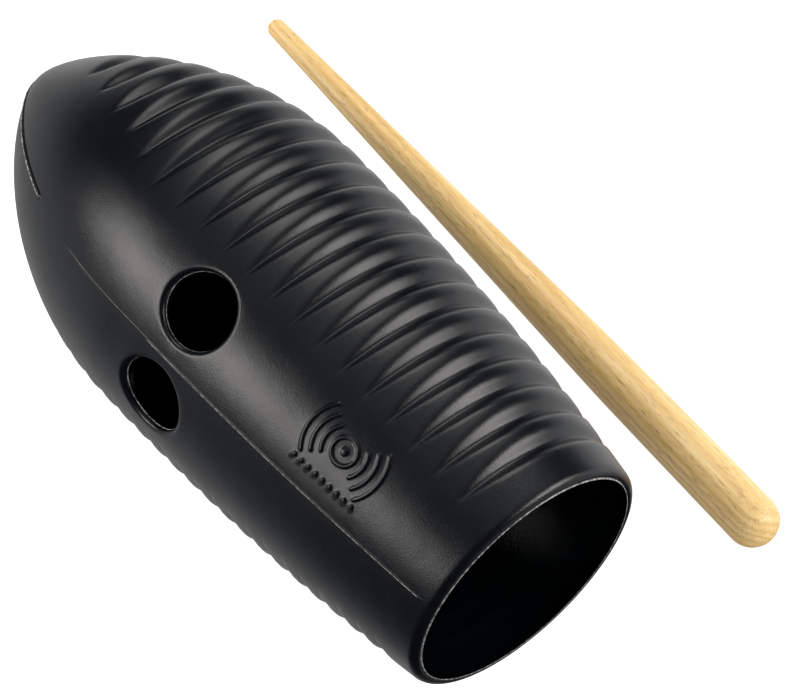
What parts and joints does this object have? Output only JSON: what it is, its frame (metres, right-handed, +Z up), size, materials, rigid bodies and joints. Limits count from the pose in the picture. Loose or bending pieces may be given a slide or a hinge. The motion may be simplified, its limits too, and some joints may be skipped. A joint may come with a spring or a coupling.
{
  "type": "guiro with scraper",
  "caption": "Hollow moulded guiro: a pointed closed nose, an open mouth, coarse and fine scraping ribs and round grip holes, with a loose tapered wooden scraper.",
  "frame": {"origin": "centre of the mouth opening, in the plane of the rim's cut face", "axes": "+X out of the mouth along the shell's axis, with the nose at -X; +Z up as the shell lies on its belly; the grip holes face -Y and up, and the scraper lies on the +Y side"},
  "size_m": [0.2715, 0.1572, 0.1148],
  "materials": {
    "moulded_plastic": "satin black moulded skin with a very fine texture",
    "hardwood": "pale hardwood, turned and sanded, thin clear satin sealer, fine dark pores along the grain"
  },
  "bodies": {
    "guiro_body": {"shell": "moulded_plastic"},
    "scraper_body": {"scraper": "hardwood"}
  },
  "joints": [
    {"name": "scraper_lift", "type": "slide", "parent": "guiro_body", "child": "scraper_body", "axis": [0, 0, 1], "range_m": [0, 0.13]}
  ]
}
